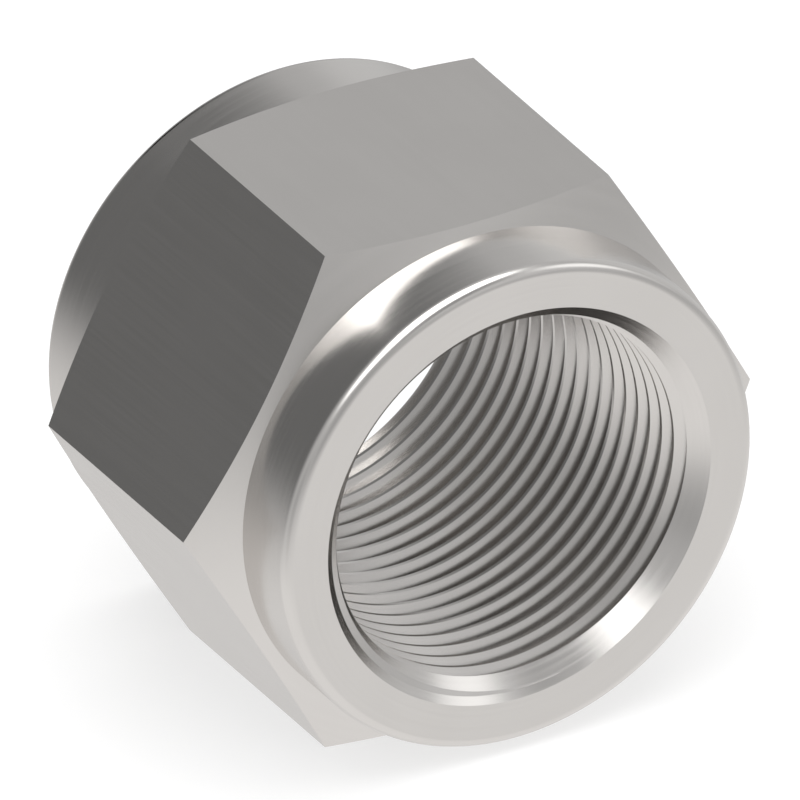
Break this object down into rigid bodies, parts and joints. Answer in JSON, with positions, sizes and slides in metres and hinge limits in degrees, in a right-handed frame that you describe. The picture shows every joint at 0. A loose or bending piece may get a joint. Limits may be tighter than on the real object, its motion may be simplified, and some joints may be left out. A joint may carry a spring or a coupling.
{
  "type": "tube nut",
  "caption": "Hexagonal steel tube nut with a plain round collar at each end and a parallel pipe thread right through its bore.",
  "frame": {"origin": "on the bore axis, midway between the two end faces", "axes": "+X along the bore axis towards one end face; both ends are alike. +Z square to the hexagon flat that faces up, with the opposite flat facing down, and +Y towards a corner of the hexagon"},
  "size_m": [0.0468, 0.0636, 0.055],
  "materials": {
    "steel": "bright bare steel with fine turning marks on the collars, end faces and cones, and a smooth milled grain on the flats"
  },
  "bodies": {
    "root": {"tube_nut": "steel"}
  },
  "joints": []
}
